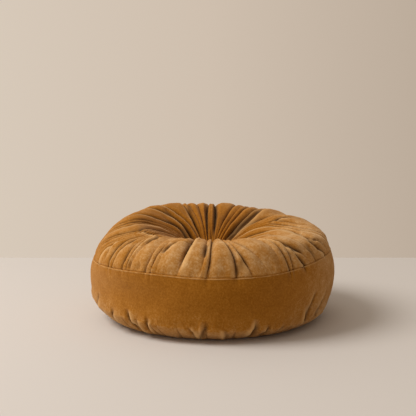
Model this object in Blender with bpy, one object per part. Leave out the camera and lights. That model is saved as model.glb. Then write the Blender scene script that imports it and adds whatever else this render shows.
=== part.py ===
"""Round velvet floor cushion, about 0.49 m across and 0.20 m high.

The cover is three pieces of cloth: a top panel gathered into a deep pull at the middle, a plain side
band, and a gathered base panel. The cushion is filled, so it is one closed solid with its crown, its
pleats, and the two drawn-in seams. Metres, +Z up, origin at the bottom centre.

A place on the cover is given by its azimuth and its station. Azimuth 0 is the front, at -Y, and it
grows towards +X. Stations run from the pull down to the floor: 0 and 1 the pull, 2 the funnel's wall,
3 the crest, 4 the shoulder, 5 the top seam, 6 the waist of the band, 7 the base seam, 8 the edge of
the floor contact, 9 its inner edge, 10 the pull of the base.
"""

from collections import namedtuple

import bmesh
import bpy
import numpy as np

MM = 0.001

# The section through the cushion, every 30 degrees, in millimetres from its own centre line.
Section = namedtuple("Section", "azimuth crest_r crest_z shoulder_r shoulder_z seam_r seam_z "
                                "waist_r base_seam_r base_seam_z contact_r")
SECTIONS = (
    Section(0, 161, 178, 219, 166, 239, 125, 243, 236, 29, 192),
    Section(30, 162, 177, 216, 169, 238, 127, 241, 233, 25, 191),
    Section(60, 162, 176, 214, 170, 238, 137, 244, 230, 23, 190),
    Section(90, 162, 180, 216, 169, 237, 138, 246, 228, 23, 189),
    Section(120, 162, 188, 221, 166, 237, 128, 246, 228, 27, 188),
    Section(150, 162, 195, 223, 165, 237, 124, 245, 230, 32, 187),
    Section(180, 162, 200, 221, 165, 237, 131, 246, 233, 38, 187),
    Section(210, 161, 202, 217, 164, 238, 135, 248, 236, 42, 187),
    Section(240, 161, 198, 213, 163, 238, 126, 249, 239, 45, 188),
    Section(270, 161, 190, 214, 161, 238, 119, 246, 241, 44, 189),
    Section(300, 160, 181, 217, 160, 239, 123, 240, 241, 40, 191),
    Section(330, 161, 178, 220, 162, 239, 128, 238, 239, 35, 192),
)
WAIST_Z = 87
EDGE_ROUND = 1.4  # how full the rounded lower edge is
BODY_CENTRE = (0.0, 0.0015)  # metres, middle of the outline, which is not quite round

# The pull at the middle of the top lies a little left and back of the centre line.
PULL_X = -0.004
PULL_Y = 0.008
PULL_Z = 85
PULL_RADIUS = 10
PULL_WALL = (40, 40)  # radius, and height above the pull, of the first steep wall
FUNNEL_REACH = 0.17  # metres, radius where the top stops following the pull sideways
FUNNEL_WALL = (0.45, 0.68)  # share of the crest's radius and of its height above the pull
BRIM = (0.75, 0.91)  # the same shares where the top rolls over into the funnel
STATIONS = (0, 1, 2, 2.5, 3, 4, 5, 6, 7)  # of the section's points above the base

# The base lies flat between these radii, and is drawn up inside them.
BASE_INNER_RADIUS = 118
BASE_PULL_RADIUS = 14
BASE_PULL_HEIGHT = 42

# The pleats of the top panel. Each row follows one crease from the pull to the top seam. The first
# six columns are its azimuth at the PLEAT_STATIONS and the next six its depth there in millimetres.
# reach is its half width, and lip the height of the fold beside it, on the side of its sign.
PLEAT_STATIONS = (1.0, 2.0, 3.0, 3.6, 4.3, 5.0)
Pleat = namedtuple("Pleat", "pull funnel crest brow slope seam "
                            "deep_pull deep_funnel deep_crest deep_brow deep_slope deep_seam reach lip")
PLEATS = (
    Pleat(-173, -173.5, -178, -179, -179, -178, 8, 9, 5, 4, 5, 1, 10, 1),
    Pleat(-168, -168.5, -168.5, -167, -166, -166, 6, 6, 4, 3, 3, 1, 9, 0),
    Pleat(-163, -163.5, -160.5, -159, -158, -158, 0, 1, 5, 5, 3, 1, 8, 0),
    Pleat(-158, -155.5, -156, -154, -151, -150, 8, 9, 4, 3, 4, 1, 10, 1),
    Pleat(-148, -143, -135, -133, -132, -133, 7, 7, 6, 4, 5, 1, 10, 1),
    Pleat(-141, -131, -124, -122, -121, -120, 7, 8, 5, 5, 4, 1, 10, 0),
    Pleat(-124, -117, -107, -104, -102, -101, 8, 9, 6, 5, 5, 2, 11, 1),
    Pleat(-108, -90.5, -94, -95, -96, -96, 6, 7, 5, 4, 3, 1, 10, 1),
    Pleat(-95, -84, -81.5, -86, -88, -89, 0, 3, 6, 6, 5, 1, 9, 1),
    Pleat(-84, -76, -74, -81, -82, -83, 3, 6, 6, 5, 3, 1, 9, 1),
    Pleat(-76, -67, -57.5, -69, -79.5, -80.5, 6, 10, 11, 8, 3, 0, 14, 4),
    Pleat(-68, -59, -54, -66.5, -78, -78, 3, 4, 3, 6, 6, 1, 9, 2),
    Pleat(-64, -56.5, -51.5, -61.5, -71, -73, 0, 0, 2, 4, 3, 0, 8, 1),
    Pleat(-60, -54, -49.5, -57, -66, -67.5, 4, 4, 2, 4, 9, 3, 9, 3),
    Pleat(-57, -52, -48.3, -53.5, -54.7, -55.3, 0, 0, 1, 4, 9, 3, 9, 3),
    Pleat(-54, -50, -47, -50.3, -52, -53.5, 5, 6, 6, 5, 6, 2, 9, 2),
    Pleat(-50, -48, -45, -45.2, -43.8, -45, 0, 0, 0, 2, 7, 2, 8, 1),
    Pleat(-45, -44.5, -43.3, -41.8, -40.9, -42.3, 6, 5, 4, 11, 10, 0, 10, 4),
    Pleat(-40, -41, -39.6, -38.6, -38.6, -40.1, 2, 3, 3, 2, 2, 1, 8, 1),
    Pleat(-34, -34, -31, -30, -29.6, -31.3, 5, 4, 1, 1, 4, 3, 8, 1),
    Pleat(-29, -29, -27, -26.7, -27, -28.5, 0, 0, 0, 2, 5, 2, 10, 1),
    Pleat(-24, -24, -19.5, -24, -24.5, -25.5, 6, 5, 3, 3, 1, 0, 10, 1),
    Pleat(-14, -14, -12.9, -12.6, -14, -16, 5, 5, 7, 12, 6, 0, 12, 3),
    Pleat(-6, -5.5, -3.6, -3.5, -4, -6, 0, 0, 3, 4, 2, 0, 8, 1),
    Pleat(1, 1, -0.4, -0.9, -1.3, -3, 8, 7, 7, 11, 10, 2, 10, -3.5),
    Pleat(9, 8, 6.5, 8.2, 10.2, 10.2, 6, 6, 6, 10, 10, 4, 10, -2),
    Pleat(15, 12, 8.8, 10.4, 13.8, 18, 0, 0, 5, 11, 10, 0, 9, -3),
    Pleat(24, 19, 11.5, 14.4, 21.5, 26, 5, 5, 5, 8, 1, 0, 10, -2),
    Pleat(40, 34, 28, 29.1, 31.5, 33, 6, 6, 6, 6, 1, 0, 9, -1),
    Pleat(50, 41, 29.4, 33, 35, 37, 0, 0, 0, 3, 7, 4, 9, -1.5),
    Pleat(58, 47, 30.6, 35, 38.8, 38.7, 0, 0, 0, 1, 6, 4, 8, -1),
    Pleat(66, 53, 31.8, 36.2, 41, 46.5, 0, 0, 0, 3, 12, 8, 11, -4),
    Pleat(78, 62, 33, 37.4, 44.4, 51, 5, 5, 5, 9, 5, 0, 10, -3),
    Pleat(108, 82, 47, 47.5, 50.5, 55.2, 5, 6, 6, 3, 3, 2, 10, -2),
    Pleat(122, 97, 70.5, 59.2, 58.2, 66.5, 3, 8, 10, 10, 9, 3, 13, -4),
    Pleat(131, 118, 76, 72.4, 75.3, 79.5, 6, 7, 8, 9, 8, 2, 11, -3),
    Pleat(132.4, 119.6, 86.5, 79.8, 82, 85, 0, 0, 8, 8, 7, 1, 10, -2),
    Pleat(133.8, 120.9, 95.3, 92, 93, 96, 0, 0, 5, 3, 3, 1, 9, -1),
    Pleat(135, 122, 107, 106, 104, 104, 0, 0, 7, 4, 4, 1, 10, -1),
    Pleat(136.2, 123.3, 114, 113, 112, 112, 0, 0, 4, 2, 3, 1, 8, 0),
    Pleat(138, 124.8, 121, 122, 124, 124, 9, 10, 9, 5, 4, 1, 12, -1),
    Pleat(153, 145, 144, 144, 145, 147, 7, 7, 6, 3, 4, 1, 10, -1),
    Pleat(159.5, 154, 152, 151.5, 153, 154, 5, 6, 6, 3, 3, 1, 9, 0),
    Pleat(165.5, 159, 155.2, 155.5, 157.5, 159, 5, 5, 1, 0, 0, 0, 8, 0),
    Pleat(169, 165.2, 161.5, 162, 164, 166, 8, 8, 5, 5, 4, 1, 10, 0),
    Pleat(171.8, 174.6, 178.3, 177, 175, 174, 9, 10, 7, 5, 5, 1, 12, 1),
    Pleat(176.5, 182, 180.2, 179, 178, 178, 6, 3, 0, 0, 0, 0, 8, 0),
)
AZIMUTHS = Pleat._fields[:6]
DEPTHS = Pleat._fields[6:12]
ROUND_SHARE = 0.8  # how much of a crease's section is a round fold, the rest being a soft valley
SWELL = 0.06  # rise of the cloth between two creases, as a share of the way between them
STEEPEST = 0.9  # a crease's depth is at most this share of its half width
FULL_LIP = 6  # a crease this deep has its whole lip
BESIDE = (0.55, 0.3)  # where a lip stands beside its crease, and its width, in half widths

# Below the top seam the band dents a little under the pleats that reach it.
DENT_SHARE = 0.6
DENT_FADE = 0.3  # stations

# The base panel's pleats leave the base seam under those of the top, and go into its own pull.
BASE_PLEAT_DEPTH = 5
BASE_PLEAT_REACH = 10
BASE_PLEAT_START = 9.1  # stations, where they begin again on the way to the pull
BASE_PLEAT_FADE = 0.3
EVEN, UNEVEN = 0.65, 0.35  # the share of their depth that is the same for all, and that differs

# The folds that stop short: a row has the places that the crease runs through, as azimuth and station,
# its depth and half width in millimetres, and the lip beside it: ahead in azimuth if positive.
Fold = namedtuple("Fold", "path deep width lip")
FOLDS = (
    Fold(((-36, 2.88), (-49, 2.9), (-56.5, 3.12), (-62, 3.34), (-69.2, 3.8), (-78, 4.48)), 6, 5, 3.5),
    Fold(((20, 3.1), (30, 3.0), (33.9, 3.39), (37.9, 3.95), (43.5, 4.5)), 6, 5, -3.5),
    Fold(((-15, 3.08), (-20.3, 3.22), (-22.8, 3.37), (-24, 3.64), (-24.4, 3.95)), 8, 4, 4),
    Fold(((142, 1.3), (138.3, 1.88), (137, 2.34), (137.4, 2.72), (140, 3.2)), 9, 8, -2),
)
STATION_LENGTH = 55 * MM  # mean way along the cover from one station to the next
LIP_OFF = 1.5  # half widths from a fold's crease to its lip
FOLD_FADE = 0.6

# The lobes: where the filling swells between the deep pleats, or has moved away. A row has the place,
# how far the lobe reaches across in millimetres and along in stations, and its rise in millimetres.
Lobe = namedtuple("Lobe", "azimuth station across along rise")
LOBES = (
    Lobe(107, 3.1, 26, 0.9, 6),
    Lobe(126, 3.2, 16, 0.9, -5),
    Lobe(140, 3.3, 24, 0.8, 2),
    Lobe(60, 3.2, 20, 0.6, -3),
    Lobe(22, 3.3, 24, 0.6, 2),
    Lobe(4, 3.5, 22, 0.8, 2),
    Lobe(-19, 3.6, 18, 0.5, 2),
    Lobe(-31, 3.4, 16, 0.5, -2),
    Lobe(-62, 3.0, 26, 0.5, 2),
    Lobe(-100, 3.2, 22, 0.8, 2),
    Lobe(-128, 3.2, 30, 0.7, 3),
    Lobe(-150, 3.4, 26, 0.7, 1),
    Lobe(168, 3.2, 24, 0.7, 2),
)

SEAM_DEPTH = 1.5
SEAM_HALF_WIDTH = 0.10  # stations

# The rings of the mesh, by station.
PULL_RINGS = (0.0, 0.35, 0.7)
TOP_RINGS = (1.0, 1.3, 1.6, 1.9, 2.15, 2.4, 2.65, 2.85, 3.05, 3.25, 3.45, 3.65, 3.85, 4.05, 4.25, 4.45,
             4.65, 4.85, 5.0)
BAND_RINGS = (5.12, 5.35, 5.7, 6.1, 6.5, 6.85, 7.0)
BASE_RINGS = (7.12, 7.35, 7.6, 7.82, 8.0, 8.5, 9.0, 9.25, 9.5, 9.75, 10.0)
NEAR_CREASE = 0.4  # the lines beside a crease stand at this share of its half width
NEAR_LIMIT = 0.3  # and at most at this share of the way to the next crease
CENTRE_SINK = 2  # millimetres from the first ring to the pull's middle

CORNERS = (0.0, 7.0, 8.0, 9.0, 10.0)  # stations where the section's outline may turn sharply
STEP = 0.02


def around(values, azimuth):
    """A smooth closed curve through values at equal steps of azimuth."""
    knots = np.asarray(values, float)
    count = len(knots)
    turn = np.mod(azimuth, 360.0) / 360.0 * count
    step = np.floor(turn).astype(int)
    t = turn - step
    before, start, end, after = (knots[(step + k) % count] for k in (-1, 0, 1, 2))
    linear = end - before
    square = 2 * before - 5 * start + 4 * end - after
    cube = 3 * start - before - 3 * end + after
    return start + 0.5 * (linear * t + square * t ** 2 + cube * t ** 3)


def section_points(azimuth):
    """Radius and height of the section's named points, stations 0 to 8, at each azimuth."""
    columns = [around(column, azimuth) for column in list(zip(*SECTIONS))[1:]]
    crest_r, crest_z, shoulder_r, shoulder_z, seam_r, seam_z, waist_r, base_r, base_z, contact_r = columns
    same = np.ones_like(crest_r)
    wall_r, wall_z = FUNNEL_WALL
    brim_r, brim_z = BRIM
    radius = (PULL_RADIUS * same, PULL_WALL[0] * same, wall_r * crest_r, brim_r * crest_r, crest_r,
              shoulder_r, seam_r, waist_r, base_r, contact_r)
    height = (PULL_Z * same, (PULL_Z + PULL_WALL[1]) * same, PULL_Z + wall_z * (crest_z - PULL_Z),
              PULL_Z + brim_z * (crest_z - PULL_Z), crest_z, shoulder_z, seam_z, WAIST_Z * same,
              base_z, 0 * same)
    return np.stack(radius) * MM, np.stack(height) * MM


def spline_weights(knots, places):
    """Weights that turn values at the knots into a natural cubic spline's values at the places."""
    count = len(knots)
    gap = np.diff(knots)
    left = np.eye(count)
    right = np.zeros((count, count))
    for i in range(1, count - 1):
        left[i, i - 1:i + 2] = gap[i - 1], 2 * (gap[i - 1] + gap[i]), gap[i]
        right[i, i - 1:i + 2] = 6 / gap[i - 1], -6 / gap[i - 1] - 6 / gap[i], 6 / gap[i]
    bend = np.linalg.solve(left, right)
    i = np.clip(np.searchsorted(knots, places, side="right") - 1, 0, count - 2)
    width = gap[i]
    a = (knots[i + 1] - places) / width
    b = 1 - a
    rows = np.arange(len(places))
    weights = np.zeros((len(places), count))
    weights[rows, i] += a
    weights[rows, i + 1] += b
    weights += ((a ** 3 - a) * width ** 2 / 6)[:, None] * bend[i]
    weights += ((b ** 3 - b) * width ** 2 / 6)[:, None] * bend[i + 1]
    return weights


def section_knots():
    """Where the stations lie along the mean section, spaced for an even spline."""
    radius, height = section_points(np.arange(0.0, 360.0, 30.0))
    steps = np.hypot(np.diff(radius[:-1].mean(1)), np.diff(height[:-1].mean(1)))
    return np.concatenate([[0.0], np.cumsum(np.sqrt(steps))])


KNOTS = section_knots()


def smooth(t):
    t = np.clip(t, 0.0, 1.0)
    return t * t * (3 - 2 * t)


def section(azimuth, station):
    """Radius and height of the plain cover at each azimuth, at one station."""
    radius, height = section_points(azimuth)
    if station <= 7:
        place = np.interp(station, STATIONS, KNOTS)
        weights = spline_weights(KNOTS, np.array([place]))[0]
        return weights @ radius[:-1], weights @ height[:-1]
    seam_r, seam_z = radius[-2], height[-2]
    contact_r = radius[-1]
    if station <= 8:
        # a rounded lower edge, which meets the floor flat
        turn = (station - 7) * np.pi / 2
        across = np.cos(turn) ** EDGE_ROUND
        down = 1 - np.sin(turn) ** EDGE_ROUND
        return contact_r + (seam_r - contact_r) * across, seam_z * down
    inner = BASE_INNER_RADIUS * MM
    if station <= 9:
        return contact_r + (inner - contact_r) * (station - 8), 0 * contact_r
    t = station - 9
    radius = inner + (BASE_PULL_RADIUS * MM - inner) * t
    return radius + 0 * contact_r, BASE_PULL_HEIGHT * MM * smooth(t) + 0 * contact_r


def pleat_values(columns, station):
    """The pleats' values at a station: straight between the columns, with their corners eased."""
    table = np.array([[getattr(pleat, name) for name in columns] for pleat in PLEATS], float)
    eased = ((-0.25, 0.25), (0.0, 0.5), (0.25, 0.25))
    total = np.zeros(len(PLEATS))
    for shift, share in eased:
        place = np.clip(station + shift, PLEAT_STATIONS[0], PLEAT_STATIONS[-1])
        for k in range(len(PLEATS)):
            total[k] += share * np.interp(place, PLEAT_STATIONS, table[k])
    return total


def crease(distance, reach):
    """1 in the crease, falling to 0 at its reach over a round fold."""
    t = np.clip(distance / reach, 0.0, 1.0)
    return ROUND_SHARE * (1 - np.sqrt(1 - (1 - t) ** 2)) + (1 - ROUND_SHARE) * (1 - smooth(t))


def lip(distance, reach):
    """The fold that stands up beside a crease."""
    place, width = BESIDE
    return np.exp(-((distance / reach - place) / width) ** 2)


def pleat_depths(station):
    """How deep each pleat's crease is at a station, in metres."""
    if station <= 5:
        return pleat_values(DEPTHS, station) * MM * smooth(station)
    if station < 7:
        return pleat_values(DEPTHS, 5) * MM * DENT_SHARE * np.exp(-((station - 5) / DENT_FADE) ** 2)
    number = np.arange(len(PLEATS))
    uneven = EVEN + UNEVEN * np.sin(2.1 * number) * np.cos(0.8 * number)
    if station < 8:
        share = np.sin(np.pi * (station - 7))
    else:
        share = smooth((station - BASE_PLEAT_START) / BASE_PLEAT_FADE)
    return BASE_PLEAT_DEPTH * MM * uneven * share


def ring(station, lines_between):
    """Azimuth and relief, in metres, of every mesh line at a station, in order round the cushion."""
    folds = pleat_values(AZIMUTHS, station)
    radius, _ = section(folds, station)
    ahead = np.append(folds[1:], folds[0] + 360.0)
    gap = np.radians(ahead - folds) * radius
    on_top = station <= 5
    widest = np.array([pleat.reach if on_top else BASE_PLEAT_REACH for pleat in PLEATS]) * MM
    reach_after = np.minimum(widest, 0.5 * gap)
    reach_before = np.minimum(widest, 0.5 * np.roll(gap, 1))
    depth = np.minimum(pleat_depths(station), STEEPEST * (reach_after + reach_before) / 2)
    stand = np.minimum(depth / (FULL_LIP * MM), 1.0) * MM
    rise = SWELL * smooth(5 - station) * smooth(station)
    azimuths = []
    reliefs = []
    for i in range(len(PLEATS)):
        j = (i + 1) % len(PLEATS)
        near = min(NEAR_LIMIT, NEAR_CREASE * reach_after[i] / gap[i])
        far = 1 - min(NEAR_LIMIT, NEAR_CREASE * reach_before[j] / gap[i])
        shares = (near, 0.5, far) if lines_between == 3 else (0.5,)
        azimuths.append(folds[i])
        reliefs.append(-depth[i])
        for share in shares:
            behind = share * gap[i]
            before = gap[i] - behind
            relief = rise * gap[i] * np.sin(np.pi * share)
            relief -= depth[i] * crease(behind, reach_after[i])
            relief -= depth[j] * crease(before, reach_before[j])
            if on_top:
                relief += max(PLEATS[i].lip, 0) * stand[i] * lip(behind, reach_after[i])
                relief += max(-PLEATS[j].lip, 0) * stand[j] * lip(before, reach_before[j])
            azimuths.append(folds[i] + share * (ahead[i] - folds[i]))
            reliefs.append(relief)
    return np.array(azimuths), np.array(reliefs)


def fold_relief(azimuth, station, radius):
    """How far the folds that stop short lift the points of one ring, less their creases' depth."""
    total = np.zeros_like(azimuth)
    for fold in FOLDS:
        width = fold.width * MM
        nearest = np.full_like(azimuth, np.inf)
        away, place = nearest.copy(), nearest.copy()
        for k, (start, end) in enumerate(zip(fold.path, fold.path[1:])):
            run = np.radians(end[0] - start[0]) * radius.mean()
            rise = (end[1] - start[1]) * STATION_LENGTH
            across = np.radians((azimuth - start[0] + 180) % 360 - 180) * radius
            along = (station - start[1]) * STATION_LENGTH
            length = np.hypot(run, rise)
            t = np.clip((across * run + along * rise) / length ** 2, 0, 1)
            off = np.hypot(across - t * run, along - t * rise)
            side = (across * rise - along * run) / length
            closer = off < nearest
            nearest = np.where(closer, off, nearest)
            away = np.where(closer, np.copysign(off, side), away)
            place = np.where(closer, (k + t) / (len(fold.path) - 1), place)
        fade = np.sin(np.pi * np.clip(place, 0.0, 1.0)) ** FOLD_FADE
        beside = away / width - LIP_OFF * np.sign(fold.lip)
        lift = abs(fold.lip) * np.exp(-beside ** 2) - fold.deep * np.exp(-(away / width) ** 2)
        total += lift * MM * fade
    return total


def lobe_relief(azimuth, station, radius):
    """How far the filling's lobes lift the points of one ring."""
    total = np.zeros_like(azimuth)
    for row in LOBES:
        away = np.radians((azimuth - row.azimuth + 180) % 360 - 180) * radius / (row.across * MM)
        total += row.rise * MM * np.exp(-away ** 2 - ((station - row.station) / row.along) ** 2)
    return total


def seam_depth(station):
    """How far the two sewn seams are drawn in."""
    top = np.exp(-((station - 5) / SEAM_HALF_WIDTH) ** 2)
    base = np.exp(-((station - 7) / SEAM_HALF_WIDTH) ** 2)
    return SEAM_DEPTH * MM * (top + base)


def outward(azimuth, station):
    """The section's outward direction, taken within one stretch between its corners."""
    end = min(corner for corner in CORNERS[1:] if corner >= station)
    start = max(corner for corner in CORNERS if corner < end)
    r0, z0 = section(azimuth, max(station - STEP, start))
    r1, z1 = section(azimuth, min(station + STEP, end))
    length = np.hypot(r1 - r0, z1 - z0)
    return (z0 - z1) / length, (r1 - r0) / length


def cover_points(station, lines_between):
    """The points of the finished cover round one ring."""
    azimuth, relief = ring(station, lines_between)
    radius, height = section(azimuth, station)
    if not 8 <= station <= 9:
        relief = relief - seam_depth(station)
    if station < 8:
        lift = fold_relief(azimuth, station, radius) + lobe_relief(azimuth, station, radius)
        relief = relief + lift * smooth(station) * smooth(8 - station)
    out_r, out_z = outward(azimuth, station)
    radius = radius + out_r * relief
    height = height + out_z * relief
    angle = np.radians(azimuth)
    follow = np.clip(1 - radius / FUNNEL_REACH, 0, 1) if station < 4 else 0
    x = radius * np.sin(angle) + PULL_X * follow - BODY_CENTRE[0]
    y = -radius * np.cos(angle) + PULL_Y * follow - BODY_CENTRE[1]
    return np.stack([x, y, np.maximum(height, 0.0)], axis=1)


def bridge(mesh, upper, lower):
    """Faces between two rings. The one with more lines has a whole number for each of the other's."""
    if len(upper) == len(lower):
        count = len(upper)
        for i in range(count):
            j = (i + 1) % count
            mesh.faces.new((upper[i], lower[i], lower[j], upper[j]))
        return
    few, many = (upper, lower) if len(upper) < len(lower) else (lower, upper)
    ratio = len(many) // len(few)
    for i in range(len(few)):
        j = (i + 1) % len(few)
        fan = [many[(i * ratio + k) % len(many)] for k in range(ratio + 1)]
        corners = (few[i], *fan, few[j])
        mesh.faces.new(corners if few is upper else reversed(corners))


def build_cushion():
    """The whole cushion as one closed mesh, ring by ring from the pull to the base's pull."""
    mesh = bmesh.new()
    rings = []
    for station in PULL_RINGS:
        rings.append(cover_points(station, 1))
    for station in TOP_RINGS:
        rings.append(cover_points(station, 3))
    for station in BAND_RINGS + BASE_RINGS:
        rings.append(cover_points(station, 1))
    loops = [[mesh.verts.new(point) for point in points] for points in rings]
    for upper, lower in zip(loops, loops[1:]):
        bridge(mesh, upper, lower)
    sink = np.array((0, 0, CENTRE_SINK * MM))
    top_centre = mesh.verts.new(rings[0].mean(axis=0) - sink)
    base_centre = mesh.verts.new(rings[-1].mean(axis=0) + sink)
    for loop, centre, flip in ((loops[0], top_centre, False), (loops[-1], base_centre, True)):
        for i, vert in enumerate(loop):
            after = loop[(i + 1) % len(loop)]
            mesh.faces.new((centre, after, vert) if flip else (centre, vert, after))
    bmesh.ops.triangulate(mesh, faces=mesh.faces[:], quad_method="SHORT_EDGE")
    data = bpy.data.meshes.new("cushion")
    mesh.to_mesh(data)
    mesh.free()
    data.shade_smooth()
    cushion = bpy.data.objects.new("cushion", data)
    bpy.context.scene.collection.objects.link(cushion)
    return cushion


def velvet():
    """Ochre cotton velvet."""
    material = bpy.data.materials.new("ochre_velvet")
    material.use_nodes = True
    shader = material.node_tree.nodes["Principled BSDF"]
    shader.inputs["Base Color"].default_value = (0.33, 0.13, 0.03, 1.0)
    shader.inputs["Roughness"].default_value = 0.9
    shader.inputs["Metallic"].default_value = 0.0
    return material


for old in list(bpy.data.objects):
    bpy.data.objects.remove(old)

cushion = build_cushion()
cushion.data.materials.append(velvet())
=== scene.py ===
import math
from collections import namedtuple

import bpy
import numpy as np
from mathutils import Euler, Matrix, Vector, noise


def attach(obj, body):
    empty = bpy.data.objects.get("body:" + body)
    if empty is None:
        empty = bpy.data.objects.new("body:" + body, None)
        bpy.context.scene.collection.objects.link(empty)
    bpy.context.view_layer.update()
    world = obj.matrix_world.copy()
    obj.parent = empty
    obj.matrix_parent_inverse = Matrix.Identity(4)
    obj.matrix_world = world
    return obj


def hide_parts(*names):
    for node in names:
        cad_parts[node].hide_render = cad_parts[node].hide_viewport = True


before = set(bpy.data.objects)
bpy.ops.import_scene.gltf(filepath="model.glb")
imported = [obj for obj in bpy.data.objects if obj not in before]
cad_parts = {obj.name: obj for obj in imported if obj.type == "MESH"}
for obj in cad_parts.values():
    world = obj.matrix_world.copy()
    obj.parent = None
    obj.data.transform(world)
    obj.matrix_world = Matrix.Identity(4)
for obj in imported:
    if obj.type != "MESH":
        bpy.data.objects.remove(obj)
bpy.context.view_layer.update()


# The cut of the cover: a gathered top panel, a plain side band and a gathered base panel of cotton velvet,
# sewn round a loose fibre filling. The filling has settled, so the section differs round the cushion and
# stands highest at the back. A row gives it in millimetres at an azimuth: 0 at the front, -Y, 90 at +X.
MM = 0.001
Section = namedtuple("Section", "azimuth crest_r crest_z shoulder_r shoulder_z seam_r seam_z "
                                "waist_r base_seam_r base_seam_z contact_r")
SECTIONS = (
    Section(0, 161, 178, 219, 166, 239, 125, 243, 236, 29, 192),
    Section(30, 162, 177, 216, 169, 238, 127, 241, 233, 25, 191),
    Section(60, 162, 176, 214, 170, 238, 137, 244, 230, 23, 190),
    Section(90, 162, 180, 216, 169, 237, 138, 246, 228, 23, 189),
    Section(120, 162, 188, 221, 166, 237, 128, 246, 228, 27, 188),
    Section(150, 162, 195, 223, 165, 237, 124, 245, 230, 32, 187),
    Section(180, 162, 200, 221, 165, 237, 131, 246, 233, 38, 187),
    Section(210, 161, 202, 217, 164, 238, 135, 248, 236, 42, 187),
    Section(240, 161, 198, 213, 163, 238, 126, 249, 239, 45, 188),
    Section(270, 161, 190, 214, 161, 238, 119, 246, 241, 44, 189),
    Section(300, 160, 181, 217, 160, 239, 123, 240, 241, 40, 191),
    Section(330, 161, 178, 220, 162, 239, 128, 238, 239, 35, 192),
)
WAIST_Z = 87
# The middle of the whole outline, seen from the middle of the sections.
BODY_CENTRE = (0.0, 1.5 * MM)
# The pull lies off the middle, and draws the cloth with it as far out as the funnel's reach.
PULL_X, PULL_Y = -4 * MM, 8 * MM
PULL_Z = 85
PULL_RADIUS = 10
FUNNEL_REACH = 170 * MM
# The pull's wall at station 1: its radius, and its height over the pull.
PULL_WALL = (40, 40)
# The funnel's wall and brim: shares of the crest's radius, and of its height over the pull.
FUNNEL_WALL = (0.45, 0.68)
BRIM = (0.75, 0.91)
# Stations run down the cover: 0 and 1 the pull in the middle, 2 the funnel, 2.5 its brim, 3 the crest,
# 4 the shoulder, 5 the top seam, 6 the waist, 7 the base seam, 8 and 9 the edges of the flat ring on the
# floor, 10 the pull of the base. One smooth curve runs through the first nine.
STATIONS = (0, 1, 2, 2.5, 3, 4, 5, 6, 7)
BASE_INNER_RADIUS = 118
BASE_PULL_RADIUS = 14
BASE_PULL_HEIGHT = 42
# How round the base's edge bends under, and the stations where the section has a corner.
EDGE_ROUND = 1.4
CORNERS = (0.0, 7.0, 8.0, 9.0, 10.0)
SLOPE_STEP = 0.01


def around(values, azimuth):
    """A smooth closed curve through values at equal steps of azimuth."""
    knots = np.asarray(values, float)
    count = len(knots)
    turn = np.mod(azimuth, 360.0) / 360.0 * count
    step = np.floor(turn).astype(int)
    t = turn - step
    before, start, end, after = (knots[(step + k) % count] for k in (-1, 0, 1, 2))
    straight = end - before
    square = 2 * before - 5 * start + 4 * end - after
    cube = 3 * start - before - 3 * end + after
    return start + 0.5 * (straight * t + square * t ** 2 + cube * t ** 3)


def section_points(azimuth):
    """Radius and height of the section's named points, stations 0 to 8, at each azimuth."""
    columns = [around(column, azimuth) for column in list(zip(*SECTIONS))[1:]]
    crest_r, crest_z, shoulder_r, shoulder_z, seam_r, seam_z, waist_r, base_r, base_z, contact_r = columns
    same = np.ones_like(crest_r)
    wall_r, wall_z = FUNNEL_WALL
    brim_r, brim_z = BRIM
    radius = (PULL_RADIUS * same, PULL_WALL[0] * same, wall_r * crest_r, brim_r * crest_r, crest_r,
              shoulder_r, seam_r, waist_r, base_r, contact_r)
    height = (PULL_Z * same, (PULL_Z + PULL_WALL[1]) * same, PULL_Z + wall_z * (crest_z - PULL_Z),
              PULL_Z + brim_z * (crest_z - PULL_Z), crest_z, shoulder_z, seam_z, WAIST_Z * same,
              base_z, 0 * same)
    return np.stack(radius) * MM, np.stack(height) * MM


def spline_weights(knots, places):
    """Weights that turn values at the knots into a natural cubic spline's values at the places."""
    count = len(knots)
    gap = np.diff(knots)
    left = np.eye(count)
    right = np.zeros((count, count))
    for i in range(1, count - 1):
        left[i, i - 1:i + 2] = gap[i - 1], 2 * (gap[i - 1] + gap[i]), gap[i]
        right[i, i - 1:i + 2] = 6 / gap[i - 1], -6 / gap[i - 1] - 6 / gap[i], 6 / gap[i]
    bend = np.linalg.solve(left, right)
    i = np.clip(np.searchsorted(knots, places, side="right") - 1, 0, count - 2)
    width = gap[i]
    a = (knots[i + 1] - places) / width
    b = 1 - a
    rows = np.arange(len(places))
    weights = np.zeros((len(places), count))
    weights[rows, i] += a
    weights[rows, i + 1] += b
    weights += ((a ** 3 - a) * width ** 2 / 6)[:, None] * bend[i]
    weights += ((b ** 3 - b) * width ** 2 / 6)[:, None] * bend[i + 1]
    return weights


def section_knots():
    """Where the stations lie along the mean section, spaced for an even spline."""
    radius, height = section_points(np.arange(0.0, 360.0, 30.0))
    steps = np.hypot(np.diff(radius[:-1].mean(1)), np.diff(height[:-1].mean(1)))
    return np.concatenate([[0.0], np.cumsum(np.sqrt(steps))])


KNOTS = section_knots()


def smooth(t):
    """An eased step from 0 to 1."""
    t = np.clip(t, 0.0, 1.0)
    return t * t * (3 - 2 * t)


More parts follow.
